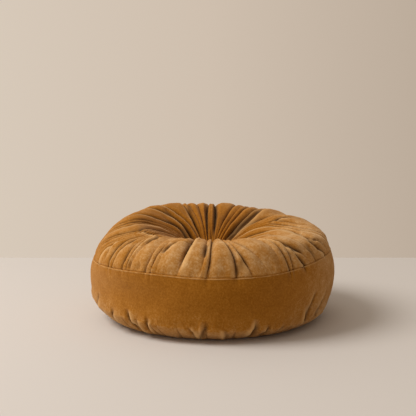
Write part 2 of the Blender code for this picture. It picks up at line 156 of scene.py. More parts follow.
def section(azimuth, station):
    """Radius and height of the plain cover at each azimuth, at one station."""
    radius, height = section_points(azimuth)
    if station <= 7:
        place = np.interp(station, STATIONS, KNOTS)
        weights = spline_weights(KNOTS, np.array([place]))[0]
        return weights @ radius[:-1], weights @ height[:-1]
    seam_r, seam_z = radius[-2], height[-2]
    contact_r = radius[-1]
    if station <= 8:
        turn = (station - 7) * np.pi / 2
        across = np.cos(turn) ** EDGE_ROUND
        down = 1 - np.sin(turn) ** EDGE_ROUND
        return contact_r + (seam_r - contact_r) * across, seam_z * down
    inner = BASE_INNER_RADIUS * MM
    if station <= 9:
        return contact_r + (inner - contact_r) * (station - 8), 0 * contact_r
    t = station - 9
    radius = inner + (BASE_PULL_RADIUS * MM - inner) * t
    return radius + 0 * contact_r, BASE_PULL_HEIGHT * MM * smooth(t) + 0 * contact_r


def outward(azimuth, station):
    """The section's outward direction, taken within one stretch between its corners."""
    end = min(corner for corner in CORNERS[1:] if corner >= station)
    start = max(corner for corner in CORNERS if corner < end)
    before_r, before_z = section(azimuth, max(station - SLOPE_STEP, start))
    after_r, after_z = section(azimuth, min(station + SLOPE_STEP, end))
    length = np.hypot(after_r - before_r, after_z - before_z)
    return (before_z - after_z) / length, (after_r - before_r) / length


# The pleats of the top panel: the cloth is gathered on a thread at the middle and eased into the seam,
# so every crease runs its own way. A row gives one crease: its azimuth and its depth in millimetres at
# the PLEAT_STATIONS, its half width, and the lip of cloth that stands up on the side of its sign.
PLEAT_STATIONS = (1.0, 2.0, 3.0, 3.6, 4.3, 5.0)
Pleat = namedtuple("Pleat", "pull funnel crest brow slope seam "
                            "deep_pull deep_funnel deep_crest deep_brow deep_slope deep_seam reach lip")
PLEATS = (
    Pleat(-173, -173.5, -178, -179, -179, -178, 8, 9, 5, 4, 5, 1, 10, 1),
    Pleat(-168, -168.5, -168.5, -167, -166, -166, 6, 6, 4, 3, 3, 1, 9, 0),
    Pleat(-163, -163.5, -160.5, -159, -158, -158, 0, 1, 5, 5, 3, 1, 8, 0),
    Pleat(-158, -155.5, -156, -154, -151, -150, 8, 9, 4, 3, 4, 1, 10, 1),
    Pleat(-153, -150, -134, -132, -132, -133, 7, 7, 6, 4, 5, 1, 10, 2),
    Pleat(-138, -137, -122, -121, -120, -120, 8, 10, 10, 7, 5, 1, 10, 2),
    Pleat(-127, -123, -102, -101, -101, -101, 9, 11, 10, 8, 6, 2, 10, 2),
    Pleat(-117, -110, -89.5, -92, -95, -96, 7, 9, 8, 7, 5, 1, 9, 2),
    Pleat(-112, -106, -83, -86, -88.5, -90, 0, 4, 8, 8, 6, 1, 9, 2),
    Pleat(-108, -102, -75.5, -80, -83.5, -85, 6, 10, 10, 8, 5, 1, 9, 2),
    Pleat(-97, -91, -58, -69, -79, -80.5, 6, 10, 11, 8, 3, 0, 13, 4),
    Pleat(-86, -80, -54, -66.5, -76, -77, 3, 4, 3, 6, 6, 1, 9, 2),
    Pleat(-79, -74, -51.5, -61.5, -71, -73, 0, 0, 2, 4, 3, 0, 8, 1),
    Pleat(-72, -68, -49.5, -57, -66, -67.5, 4, 4, 2, 4, 9, 3, 9, 3),
    Pleat(-65, -62, -48.3, -54.2, -54.9, -55.5, 0, 0, 1, 6, 10, 3, 9, 3),
    Pleat(-59, -56, -46.8, -50.2, -51.8, -52.8, 5, 6, 8, 7, 5, 2, 9, 2),
    Pleat(-53, -51, -45, -45.2, -43.8, -45, 0, 0, 0, 2, 7, 2, 8, 1),
    Pleat(-45, -44.5, -43.3, -41.8, -40.9, -42.3, 6, 5, 4, 11, 10, 0, 10, 6),
    Pleat(-40, -41, -39.6, -38.6, -38.6, -40.1, 2, 3, 3, 2, 2, 1, 8, 1),
    Pleat(-34, -34, -31, -30, -29.6, -31.3, 5, 4, 1, 1, 4, 3, 8, 1),
    Pleat(-29, -29, -27, -26.7, -27, -28.5, 0, 0, 0, 2, 5, 2, 10, 1),
    Pleat(-24, -24, -19.5, -24, -24.5, -25.5, 6, 5, 0, 0, 0, 0, 10, 0),
    Pleat(-14, -14, -12.9, -12.6, -14, -16, 5, 5, 7, 12, 6, 0, 12, 4.5),
    Pleat(-6, -5.5, -3.6, -3.5, -4, -6, 0, 0, 3, 4, 2, 0, 8, 1),
    Pleat(1, 1, -0.4, -0.9, -1.3, -3, 8, 7, 7, 11, 10, 2, 10, -5.5),
    Pleat(9, 8, 6.5, 8.2, 10.2, 10.2, 6, 6, 6, 10, 10, 4, 10, -2),
    Pleat(15, 12, 8.8, 10.4, 13.8, 18, 0, 0, 5, 11, 10, 0, 9, -3),
    Pleat(24, 19, 11.5, 14.4, 21.5, 26, 5, 5, 5, 8, 1, 0, 10, -2),
    Pleat(40, 34, 28, 29.1, 31.5, 33, 6, 6, 6, 6, 1, 0, 9, -1),
    Pleat(50, 41, 29.4, 33.5, 35, 37, 0, 0, 0, 6, 10, 6, 9, -3),
    Pleat(58, 47, 30.6, 35, 38.8, 38.7, 0, 0, 0, 1, 6, 4, 8, -1),
    Pleat(66, 53, 31.8, 36.2, 41, 46.5, 0, 0, 0, 3, 12, 8, 11, -4),
    Pleat(78, 62, 33, 37.4, 44.4, 51, 5, 5, 5, 9, 5, 0, 10, -3),
    Pleat(108, 86, 47, 47.5, 50.5, 55.2, 5, 7, 8, 6, 3, 2, 10, -3),
    Pleat(122, 97, 70.5, 59.2, 58.2, 66.5, 3, 8, 10, 10, 9, 3, 13, -4),
    Pleat(131, 118, 76, 72.4, 75.3, 79.5, 6, 7, 8, 9, 8, 2, 11, -3),
    Pleat(132.4, 119.6, 86.5, 79.8, 82, 85, 0, 0, 8, 8, 7, 1, 10, -2),
    Pleat(133.8, 120.9, 95.3, 92, 93, 96, 0, 0, 5, 3, 3, 1, 9, -1),
    Pleat(135, 122, 107, 106, 104, 104, 0, 0, 7, 4, 4, 1, 10, -1),
    Pleat(136.2, 123.3, 114, 113, 112, 112, 0, 0, 4, 2, 3, 1, 8, 0),
    Pleat(140, 130, 121, 122, 124, 124, 9, 10, 9, 5, 4, 1, 11, -3),
    Pleat(153, 145, 144, 144, 145, 147, 7, 7, 6, 3, 4, 1, 10, -1),
    Pleat(159.5, 154, 152, 151.5, 153, 154, 5, 6, 6, 3, 3, 1, 9, 0),
    Pleat(165.5, 159, 155.2, 155.5, 157.5, 159, 5, 5, 1, 0, 0, 0, 8, 0),
    Pleat(169, 165.2, 161.5, 162, 164, 166, 8, 8, 5, 5, 4, 1, 10, 0),
    Pleat(171.8, 174.6, 178.3, 177, 175, 174, 9, 10, 7, 5, 5, 1, 12, 1),
    Pleat(176.5, 182, 180.2, 179, 178, 178, 6, 3, 0, 0, 0, 0, 8, 0),
)
AZIMUTHS = Pleat._fields[:6]
DEPTHS = Pleat._fields[6:12]
EASED = ((-0.25, 0.25), (0.0, 0.5), (0.25, 0.25))
# A crease is a round fold with a little of a soft trough, and no steeper than this.
ROUND_SHARE = 0.8
STEEPEST = 0.95
# The painted shade reaches further up the walls of a crease than the crease is deep.
SHADE_SHARE = 0.6
SHADE_REACH = 0.6
# The filling swells between two pleats by this share of their gap.
SWELL = 0.06
# A lip stands up in full beside a crease this deep. Its place and width are shares of the crease's reach.
FULL_LIP = 6
BESIDE = (0.55, 0.3)
# The pleats dent the band a little below the top seam.
DENT_SHARE = 0.6
DENT_FADE = 0.3
# The pleats of the base show at its edge and run on from the flat ring into its pull.
BASE_PLEAT_DEPTH = 5
BASE_PLEAT_REACH = 10
BASE_PLEAT_START = 9.1
BASE_PLEAT_FADE = 0.3
EVEN, UNEVEN = 0.65, 0.35
UNEVEN_TURNS = (2.1, 0.8)


def pleat_values(columns, station):
    """The pleats' values at a station: straight between the columns, with their corners eased."""
    table = np.array([[getattr(pleat, name) for name in columns] for pleat in PLEATS], float)
    total = np.zeros(len(PLEATS))
    for shift, share in EASED:
        place = np.clip(station + shift, PLEAT_STATIONS[0], PLEAT_STATIONS[-1])
        total += [share * np.interp(place, PLEAT_STATIONS, row) for row in table]
    return total


def crease(distance, reach):
    """1 in the crease, falling to 0 at its reach over a round fold."""
    t = np.clip(distance / reach, 0.0, 1.0)
    return ROUND_SHARE * (1 - np.sqrt(1 - (1 - t) ** 2)) + (1 - ROUND_SHARE) * (1 - smooth(t))


def shading(distance, reach):
    """How much painted shade lies beside a crease."""
    return SHADE_SHARE * np.exp(-(distance / reach / SHADE_REACH) ** 2)


def lip(distance, reach):
    """The fold that stands up beside a crease."""
    place, width = BESIDE
    return np.exp(-((distance / reach - place) / width) ** 2)


def pleat_depths(station):
    """How deep each pleat's crease is at a station, in metres."""
    if station <= 5:
        return pleat_values(DEPTHS, station) * MM * smooth(station)
    if station < 7:
        return pleat_values(DEPTHS, 5) * MM * DENT_SHARE * np.exp(-((station - 5) / DENT_FADE) ** 2)
    number = np.arange(len(PLEATS))
    uneven = EVEN + UNEVEN * np.sin(UNEVEN_TURNS[0] * number) * np.cos(UNEVEN_TURNS[1] * number)
    if station < 8:
        share = np.sin(np.pi * (station - 7))
    else:
        share = smooth((station - BASE_PLEAT_START) / BASE_PLEAT_FADE)
    return BASE_PLEAT_DEPTH * MM * uneven * share


# The cloth between the pleats. Its mesh has a line in every crease, three close by on each side of it and
# one about every LINE_STEP between, so that each fold is cut cleanly. Every second line runs on over the
# plain stretches of the band and base.
LINE_STEP = 3.3 * MM
NEAR_LINES = (0.1, 0.3, 0.62)
NEAR_SHARE = 0.3


def lines_between():
    """How many lines run across the cloth between each crease and the next, an odd number."""
    shoulder = 4.0
    folds = pleat_values(AZIMUTHS, shoulder)
    gap = np.radians(np.append(folds[1:], folds[0] + 360) - folds) * section(folds, shoulder)[0]
    reach = np.array([pleat.reach for pleat in PLEATS]) * MM
    room = gap - reach - np.roll(reach, -1)
    return [2 * int(max(0, width / LINE_STEP / 2)) + 1 for width in room]


BETWEEN = lines_between()


def ring(station, every):
    """Azimuth, relief, crease shade, lip and place in the pleats of every mesh line round one ring."""
    folds = pleat_values(AZIMUTHS, station)
    radius, _ = section(folds, station)
    ahead = np.append(folds[1:], folds[0] + 360.0)
    gap = np.radians(ahead - folds) * radius
    on_top = station <= 5
    widest = np.array([pleat.reach if on_top else BASE_PLEAT_REACH for pleat in PLEATS]) * MM
    reach_after = np.minimum(widest, 0.5 * gap)
    reach_before = np.minimum(widest, 0.5 * np.roll(gap, 1))
    depth = np.minimum(pleat_depths(station), STEEPEST * (reach_after + reach_before) / 2)
    stand = np.minimum(depth / (FULL_LIP * MM), 1.0) * MM
    stand_after, stand_before = stand * reach_after / widest, stand * reach_before / widest
    rise = SWELL * smooth(5 - station) * smooth(station)
    rows = []
    for i, middle in enumerate(BETWEEN):
        j = (i + 1) % len(PLEATS)
        near = min(NEAR_SHARE, reach_after[i] / gap[i])
        far = min(NEAR_SHARE, reach_before[j] / gap[i])
        shares = [0.0]
        shares += [k * near for k in NEAR_LINES]
        shares += list(np.linspace(near, 1 - far, middle + 2)[1:-1])
        shares += [1 - k * far for k in reversed(NEAR_LINES)]
        for share in shares[::every]:
            behind = share * gap[i]
            before = gap[i] - behind
            sunk = depth[i] * crease(behind, reach_after[i]) + depth[j] * crease(before, reach_before[j])
            shade = depth[i] * shading(behind, reach_after[i]) + depth[j] * shading(before, reach_before[j])
            raised = 0.0
            if on_top:
                raised += max(PLEATS[i].lip, 0) * stand_after[i] * lip(behind, reach_after[i])
                raised += max(-PLEATS[j].lip, 0) * stand_before[j] * lip(before, reach_before[j])
            swell = rise * gap[i] * math.sin(math.pi * share)
            azimuth = folds[i] + share * (ahead[i] - folds[i])
            # The third value is the painted crease shade: the crease's depth, or the shade beside it where
            # more.
            rows.append((azimuth, swell + raised - sunk, max(sunk, shade), raised, i + share))
    return np.array(rows).T


# The folds that stop short: the rim that the front rolls over into the dimple, slack flaps below it,
# puckers where the gathered cloth is eased into a seam, and the creases of the base's edge where the
# cover bends under. A row has the places that its crease runs through, as azimuth and station, its depth
# and half width in millimetres, and the lip beside it: ahead in azimuth if positive, behind if negative.
Fold = namedtuple("Fold", "path deep width lip")
FOLDS = (
    Fold(((-36, 2.88), (-46, 2.88), (-54, 2.95), (-59, 3.1)), 6, 5, 3.5),
    Fold(((20, 3.1), (30, 3.0), (35, 3.4), (38, 3.7), (39.3, 4.0), (42.4, 4.25), (47.7, 4.5)), 7, 5, -3.5),
    Fold(((-13, 3.28), (-17, 3.26), (-20.5, 3.32), (-23.2, 3.5), (-24.6, 3.75), (-25, 4.0)), 10, 5, 2.5),
    Fold(((-39.9, 2.9), (-39, 3.14), (-39.3, 3.39), (-39.8, 3.6)), 4.5, 4, -1.5),
    Fold(((-3.2, 3.35), (-3.6, 3.83), (-3.7, 4.2)), 6, 4.5, 0),
    Fold(((12.4, 4.35), (13.5, 4.61), (14.5, 4.85)), 5, 4, -2),
    Fold(((11.1, 4.5), (10.6, 4.9)), 3, 3, 0),
    Fold(((52.6, 3.9), (52.5, 4.44), (55.1, 4.95)), 3, 3, -1),
    Fold(((53.3, 4.1), (54.2, 4.55), (57.2, 4.95)), 3, 3, -1),
    Fold(((55.8, 4.0), (59, 4.49), (67, 4.98)), 6, 4, -2.5),
    Fold(((106, 2.5), (105.5, 2.8), (105.4, 3.1)), 5, 4, -1.5),
    Fold(((142, 1.3), (138.3, 1.88), (137, 2.34), (137.4, 2.72), (140, 3.2)), 9, 8, -2),
    Fold(((-61.2, 3.79), (-61.1, 4.09), (-60.5, 4.45), (-61.2, 4.8)), 3.5, 3.5, 2),
    Fold(((60.5, 3.67), (62, 4.03), (66.3, 4.4), (71, 4.8)), 4, 3.5, -2),
    Fold(((-121, 1.3), (-122.8, 1.9), (-121, 2.5)), 6, 5, 1),
    Fold(((-136, 1.3), (-135, 2.2), (-133, 2.7)), 6, 5, 1),
    Fold(((-160, 1.3), (-156.5, 2.08), (-158, 2.47), (-161, 2.95)), 6, 4, 1),
    Fold(((-172.4, 1.3), (-174.3, 2.13), (-175.3, 2.69), (-176, 3.1)), 6, 4, 0),
    Fold(((177.6, 1.3), (175.1, 2.09), (177.2, 2.77), (178, 3.1)), 6, 4, 0),
    Fold(((-40, 4.45), (-40.1, 4.95)), 3, 4, 1),
    Fold(((-34.2, 4.5), (-34.8, 4.95)), 3, 4, 1),
    Fold(((-29, 4.7), (-29.4, 4.97)), 2, 3, 1),
    Fold(((-51.2, 6.8), (-55.2, 7.75)), 4, 5, 2),
    Fold(((-42.0, 6.7), (-40.3, 7.15), (-37.8, 7.65)), 6, 5, 3),
    Fold(((-36.2, 6.95), (-37.0, 7.8)), 4, 4, 2.5),
    Fold(((-29.9, 6.8), (-31.8, 7.65)), 5, 4, 2.5),
    Fold(((-11.2, 6.95), (-7.0, 7.85)), 5, 4, 3.5),
    Fold(((-2.6, 6.75), (-5.7, 7.75)), 7, 4.5, -2),
    Fold(((5.2, 6.95), (7.2, 7.85)), 4, 4, -3),
    Fold(((15.0, 6.95), (15.8, 7.75)), 4, 4, 1.5),
    Fold(((20.8, 6.7), (19.4, 7.13), (18.0, 7.75)), 7, 5, -3),
    Fold(((26.5, 6.9), (24.4, 7.75)), 5, 4, -2.5),
    Fold(((35, 6.95), (30.0, 7.75)), 4, 4, -1.5),
    Fold(((48.2, 6.5), (49.0, 7.5)), 5, 5, -2.5),
    Fold(((54.8, 6.1), (48.6, 7.1)), 4, 6, -2),
    Fold(((65.5, 6.2), (57.5, 7.1)), 4, 6, -2),
    Fold(((-66, 6.5), (-71, 7.4)), 4, 6, 2),
    Fold(((-84, 6.6), (-88, 7.5)), 3, 6, 2),
    Fold(((86, 6.5), (80, 7.4)), 4, 6, -2),
    Fold(((104, 6.6), (101, 7.5)), 4, 5, -2),
    Fold(((127, 6.6), (131, 7.5)), 4, 5, 2),
    Fold(((152, 6.5), (149, 7.4)), 3, 6, -2),
    Fold(((176, 6.7), (172, 7.6)), 4, 5, -2),
    Fold(((-160, 6.6), (-165, 7.5)), 3, 5, 2),
    Fold(((-133, 6.5), (-129, 7.4)), 4, 6, -2),
    Fold(((-108, 6.6), (-112, 7.5)), 3, 5, 2),
)
STATION_LENGTH = 55 * MM
LIP_OFF = 1.5
FOLD_FADE = 0.6


def fold_relief(azimuth, station, radius):
    """The folds' depth, and their lips' height, at the points of one ring."""
    sunk = np.zeros_like(azimuth)
    raised = np.zeros_like(azimuth)
    for fold in FOLDS:
        width = fold.width * MM
        nearest = np.full_like(azimuth, np.inf)
        away, place = nearest.copy(), nearest.copy()
        for k, (start, end) in enumerate(zip(fold.path, fold.path[1:])):
            run = math.radians(end[0] - start[0]) * radius.mean()
            rise = (end[1] - start[1]) * STATION_LENGTH
            across = np.radians((azimuth - start[0] + 180) % 360 - 180) * radius
            along = (station - start[1]) * STATION_LENGTH
            length = math.hypot(run, rise)
            t = np.clip((across * run + along * rise) / length ** 2, 0, 1)
            off = np.hypot(across - t * run, along - t * rise)
            side = (across * rise - along * run) / length
            closer = off < nearest
            nearest = np.where(closer, off, nearest)
            away = np.where(closer, np.copysign(off, side), away)
            place = np.where(closer, (k + t) / (len(fold.path) - 1), place)
        fade = np.sin(np.pi * np.clip(place, 0.0, 1.0)) ** FOLD_FADE
        beside = away / width - LIP_OFF * np.sign(fold.lip)
        sunk += fold.deep * MM * fade * np.exp(-(away / width) ** 2)
        raised += abs(fold.lip) * MM * fade * np.exp(-beside ** 2)
    return sunk, raised


# The lobes: where the loose fibre filling swells between the deep pleats, or has moved away from under
# the cloth. Each row gives a place, how far the swelling reaches across in millimetres and along in
# stations, and its rise in millimetres.
Lobe = namedtuple("Lobe", "azimuth station across along rise")
LOBES = (
    Lobe(107, 3.1, 26, 0.9, 6),
    Lobe(126, 3.2, 16, 0.9, -5),
    Lobe(140, 3.3, 24, 0.8, 2),
    Lobe(60, 3.2, 20, 0.6, -3),
    Lobe(22, 3.3, 24, 0.6, 2),
    Lobe(4, 3.5, 22, 0.8, 2),
    Lobe(-19, 3.6, 18, 0.5, 2),
    Lobe(-31, 3.4, 16, 0.5, -2),
    Lobe(-62, 3.0, 26, 0.5, 2),
    Lobe(-100, 3.2, 22, 0.8, 2),
    Lobe(-128, 3.2, 30, 0.7, 3),
    Lobe(-150, 3.4, 26, 0.7, 1),
    Lobe(168, 3.2, 24, 0.7, 2),
)


def lobe_relief(azimuth, station, radius):
    """How far the filling's lobes lift the points of one ring."""
    total = np.zeros_like(azimuth)
    for row in LOBES:
        away = np.radians((azimuth - row.azimuth + 180) % 360 - 180) * radius / (row.across * MM)
        total += row.rise * MM * np.exp(-away ** 2 - ((station - row.station) / row.along) ** 2)
    return total


# The sewn seams: the top panel's allowance lies up inside, so its edge is drawn in beside the stitches
# and the band's edge stands proud as a fine ridge below, rippled by the gathers. The seam of the base is
# slacker: it has no ridge, only a soft step.
Seam = namedtuple("Seam", "station deep half_width ridge ridge_off puckers")
SEAMS = (
    Seam(5.0, 1.5, 0.035, 1.0, 0.05, 1.0),
    Seam(7.0, 0.8, 0.09, 0.0, -0.1, 0.8),
)
RIPPLE_STEP = 11 * MM
RIPPLES = round(2 * math.pi * 238 * MM / RIPPLE_STEP)
DRIFT_TURNS = 13
RIDGE_WIDTH = 0.025
RIDGE_EVEN, RIDGE_RIPPLE = 0.55, 0.6
PUCKER_OFF, PUCKER_WIDTH = 0.1, 0.1


def seam_relief(azimuth, station):
    """How far the seams are drawn in, and how high their ridges stand, at the points of one ring."""
    angle = np.radians(azimuth)
    ripple = 0.5 + 0.5 * np.sin(RIPPLES * angle + 2 * np.sin(DRIFT_TURNS * angle))
    proud = RIDGE_EVEN + RIDGE_RIPPLE * ripple
    sunk = np.zeros_like(azimuth)
    raised = np.zeros_like(azimuth)
    for seam in SEAMS:
        past = station - seam.station
        sunk += seam.deep * MM * math.exp(-(past / seam.half_width) ** 2)
        raised += seam.ridge * MM * proud * math.exp(-((past - seam.ridge_off) / RIDGE_WIDTH) ** 2)
        sunk += seam.puckers * MM * ripple * math.exp(-((past + PUCKER_OFF) / PUCKER_WIDTH) ** 2)
    return sunk, raised


# The unevenness of the cloth: soft lumps a few centimetres wide, fine folds that run along the pleats,
# and the crumple of cloth that has been sat on.
LUMP = 55 * MM
LUMP_RISE = 2.0 * MM
CRUMPLE = 14 * MM
CRUMPLE_RISE = 0.8 * MM
CRUMPLE_BELOW_SEAM = 0.35
# Fine folds: how many from pleat to pleat, how they drift along it, and where the cloth is plain.
FINE_FOLDS = 3.1
FINE_RISE = 1.4 * MM
FINE_DRIFT = 0.55
FINE_PATTERN = 7.0
PLAIN_BAND = (5.4, 6.7)
PLAIN_BASE = (7.95, 9.1)
FINE_FADE = 0.6
FINE_AT_EDGE = 0.6


def lumps(points, station):
    """Slow unevenness and crumple, in metres, at each point."""
    crumple = CRUMPLE_RISE * (1 if station < 5 else CRUMPLE_BELOW_SEAM)
    return np.array([noise.noise(Vector(p) / LUMP) * LUMP_RISE + noise.noise(Vector(p) / CRUMPLE) * crumple
                     for p in points])


def fine_folds(cloth, station):
    """Fine folds along the pleats of the top panel and of the base's edge."""
    if PLAIN_BAND[0] < station < PLAIN_BAND[1] or PLAIN_BASE[0] < station < PLAIN_BASE[1]:
        return np.zeros_like(cloth)
    share = FINE_AT_EDGE
    if station < PLAIN_BAND[1]:
        share = smooth(station) * smooth((PLAIN_BAND[0] - station) / FINE_FADE)
    along = station * FINE_DRIFT
    wave = [noise.noise(Vector((place * FINE_FOLDS, along, FINE_PATTERN))) for place in cloth]
    return np.array(wave) * FINE_RISE * share


# The wear and painted light: the short pile is brushed pale where hands and use reach it, so little in the
# sheltered dimple and on the band, and most on the top, and the same paleness paints light: the top paler
# for the light from above and the sheen seen across it, the dimple darker as painted shade, the top's back
# and left a little darker as painted shade, and the band's sides paler as painted sheen. The base's edge is
# paler again. Creases get painted shade, most on the two sides, and the fine ridge at a seam gets a painted
# highlight beyond what its height alone would give.
WEAR_AND_LIGHT_STATIONS = (1.2, 2.3, 2.9, 3.4, 4.2, 4.97, 5.03, 6.3, 7.0, 7.3, 8.0)
WEAR_AND_LIGHT = (0.05, 0.2, 0.5, 0.62, 0.6, 0.5, 0.16, 0.14, 0.35, 0.55, 0.55)
TOP_SIDES_PAINTED_LIGHT_AND_SHADE = (0.05, 0.02, 0.08, 0.1, 0.0, -0.1, -0.1, -0.1, -0.2, -0.25, -0.15, 0)
BAND_SIDES_PAINTED_SHEEN = (0, 0, 0.35, 0.45, 0.3, 0.2, 0.1, 0.1, 0.2, 0.2, 0.1, 0)
PAINTED_SIDES_START = 1.5
FRONT_SHADE, SIDE_SHADE = 0.75, 1.5
RIDGE_HIGHLIGHT = 2


def paint_wear_and_light(azimuth, station):
    """How pale the velvet is painted, 0 to 1, round one ring: for wear, and as light, sheen and shade."""
    sides = TOP_SIDES_PAINTED_LIGHT_AND_SHADE if station <= 5 else BAND_SIDES_PAINTED_SHEEN
    worn = np.interp(station, WEAR_AND_LIGHT_STATIONS, WEAR_AND_LIGHT)
    return worn + around(sides, azimuth) * smooth(station - PAINTED_SIDES_START)


# The closed cover: three panels of velvet sewn into one skin, so it is one mesh, made ring by ring from the
# pull at the top to the pull underneath. It rides on the cushion's only body and takes the place of the
# plain solid.
PULL_RINGS = (0.0, 0.12, 0.25, 0.38, 0.52, 0.66, 0.8, 0.9)
TOP_RINGS = tuple(np.concatenate([np.linspace(1.0, 4.8, 92), np.linspace(4.83, 5.0, 8)]))
BAND_RINGS = tuple(np.concatenate([np.linspace(5.02, 5.3, 12), np.linspace(5.36, 6.1, 14)]))
EDGE_RINGS = tuple(np.linspace(6.15, 7.92, 46))
BASE_RINGS = tuple(np.concatenate([[8.0, 8.25, 8.5, 8.75, 9.0], np.linspace(9.05, 10.0, 18)]))
PULL_TUCK = 2 * MM


def cover_ring(station, every):
    """The finished cover's points round one ring, with how deep and how proud each is, which paint its
    crease shade and lip highlight, and how pale it is painted for wear and light.
    """
    azimuth, relief, sunk, raised, cloth = ring(station, every)
    radius, height = section(azimuth, station)
    angle = np.radians(azimuth)
    plain = np.stack([radius * np.sin(angle), -radius * np.cos(angle), height], axis=1)
    if not 8 <= station <= 9:
        small, small_lip = fold_relief(azimuth, station, radius)
        seam, ridge = seam_relief(azimuth, station)
        sunk = sunk + small + seam
        # The seam's ridge gets a painted highlight stronger than its height alone would give.
        raised = raised + small_lip + RIDGE_HIGHLIGHT * ridge
        relief = relief - small - seam + small_lip + ridge + fine_folds(cloth, station)
        if station < 8:
            fade = smooth(station) * smooth(8 - station)
            relief = relief + (lumps(plain, station) + lobe_relief(azimuth, station, radius)) * fade
    out_r, out_z = outward(azimuth, station)
    radius = radius + out_r * relief
    height = height + out_z * relief
    follow = np.clip(1 - radius / FUNNEL_REACH, 0, 1) if station < 4 else 0
    x = radius * np.sin(angle) + PULL_X * follow - BODY_CENTRE[0]
    y = -radius * np.cos(angle) + PULL_Y * follow - BODY_CENTRE[1]
    points = np.stack([x, y, np.maximum(height, 0.0)], axis=1)
    # The painted crease shade is twice as strong on the two sides as at the front and back.
    sunk = sunk * (FRONT_SHADE + (SIDE_SHADE - FRONT_SHADE) * np.sin(angle) ** 2)
    return points, {"sunk": sunk / MM, "raised": raised / MM, "worn": paint_wear_and_light(azimuth, station)}


def bridge(upper, lower):
    """Faces between two rings of vertex numbers. Where one has twice the lines, each face takes three."""
    faces = []
    few, many = (upper, lower) if len(upper) < len(lower) else (lower, upper)
    ratio = len(many) // len(few)
    for i in range(len(few)):
        j = (i + 1) % len(few)
        edge = [many[(i * ratio + k) % len(many)] for k in range(ratio + 1)]
        corners = [few[i], *edge, few[j]]
        faces.append(corners if few is upper else corners[::-1])
    return faces


def sew_cover():
    """The whole cover as one closed mesh, with its creases, lips and wear kept as point attributes, which
    also paint shade, highlight and light on it.
    """
    rings = [cover_ring(station, 2) for station in PULL_RINGS]
    rings += [cover_ring(station, 1) for station in TOP_RINGS]
    rings += [cover_ring(station, 2) for station in BAND_RINGS]
    rings += [cover_ring(station, 1) for station in EDGE_RINGS]
    rings += [cover_ring(station, 2) for station in BASE_RINGS]
    points = np.concatenate([ring_points for ring_points, _ in rings])
    loops = []
    start = 0
    for ring_points, _ in rings:
        loops.append(list(range(start, start + len(ring_points))))
        start += len(ring_points)
    faces = []
    for upper, lower in zip(loops, loops[1:]):
        faces += bridge(upper, lower)
    top_centre = rings[0][0].mean(axis=0) - (0, 0, PULL_TUCK)
    base_centre = rings[-1][0].mean(axis=0) + (0, 0, PULL_TUCK)
    points = np.concatenate([points, [top_centre, base_centre]])
    for point, ahead in zip(loops[0], loops[0][1:] + loops[0][:1]):
        faces.append((start, point, ahead))
    for point, ahead in zip(loops[-1], loops[-1][1:] + loops[-1][:1]):
        faces.append((start + 1, ahead, point))
    data = bpy.data.meshes.new("cushion_cover")
    data.from_pydata(points.tolist(), [], faces)
    data.shade_smooth()
    for name in ("sunk", "raised", "worn"):
        layer = data.attributes.new(name, "FLOAT", "POINT")
        layer.data.foreach_set("value", np.concatenate([looks[name] for _, looks in rings] + [(0.0, 0.0)]))
    cover = bpy.data.objects.new("cushion_cover", data)
    bpy.context.scene.collection.objects.link(cover)
    return cover


# Cotton velvet, dyed ochre: a short upright pile cut from loops. It gives the eye a deep colour where the
# pile stands, a pale bloom where it is brushed over, soft patches of nap, and no gloss. The creases are
# painted with shade, the lips and seam ridges with a highlight, and the pale bloom also paints light and
# sheen. The pile's tufts are too fine to show, so they are drawn as grains of 1.8 mm.
NAP_PATCH = 22 * MM
NAP_SPECKLE = 3.5 * MM
PILE_GRAIN = 1.8 * MM
PATCH_CONTRAST = 0.4
SPECKLE_CONTRAST = 0.2
NOISE_LOW, NOISE_HIGH = 0.3, 0.7
# The ramp's pale end is brushed nap and also painted light and sheen.
WEAR_AND_LIGHT_COLOURS = ((0.0, "#875104"), (0.3, "#9C6418"), (0.6, "#AE7D42"), (1.0, "#C8A374"))
# Depths and rises in millimetres at which the painted crease shade and lip highlight start and are full.
CREASE_SHADE_COLOUR, CREASE_FROM, CREASE_FULL, CREASE_SHARE = "#3C2002", 1.2, 6.5, 0.95
LIP_HIGHLIGHT_COLOUR, LIP_FROM, LIP_FULL, LIP_SHARE = "#D9B078", 0.3, 2.5, 0.55


def linear(hex_colour):
    """An sRGB hex colour as linear values with full alpha."""
    parts = [int(hex_colour[i:i + 2], 16) / 255 for i in (1, 3, 5)]
    return [c / 12.92 if c <= 0.04045 else ((c + 0.055) / 1.055) ** 2.4 for c in parts] + [1.0]


def add_node(tree, kind, settings=None, inputs=None):
    """A node with its settings, and its inputs by name or number: values, or other nodes' outputs."""
    node = tree.nodes.new(kind)
    for name, value in (settings or {}).items():
        if name == "stops":
            ramp = node.color_ramp.elements
            while len(ramp) < len(value):
                ramp.new(0.5)
            for stop, (place, colour) in zip(ramp, value):
                stop.position = place
                stop.color = linear(colour)
        else:
            setattr(node, name, value)
    for name, value in (inputs or {}).items():
        socket = next(s for i, s in enumerate(node.inputs) if name in (i, s.name) and s.enabled)
        if isinstance(value, bpy.types.NodeSocket):
            tree.links.new(value, socket)
        else:
            socket.default_value = value
    return node


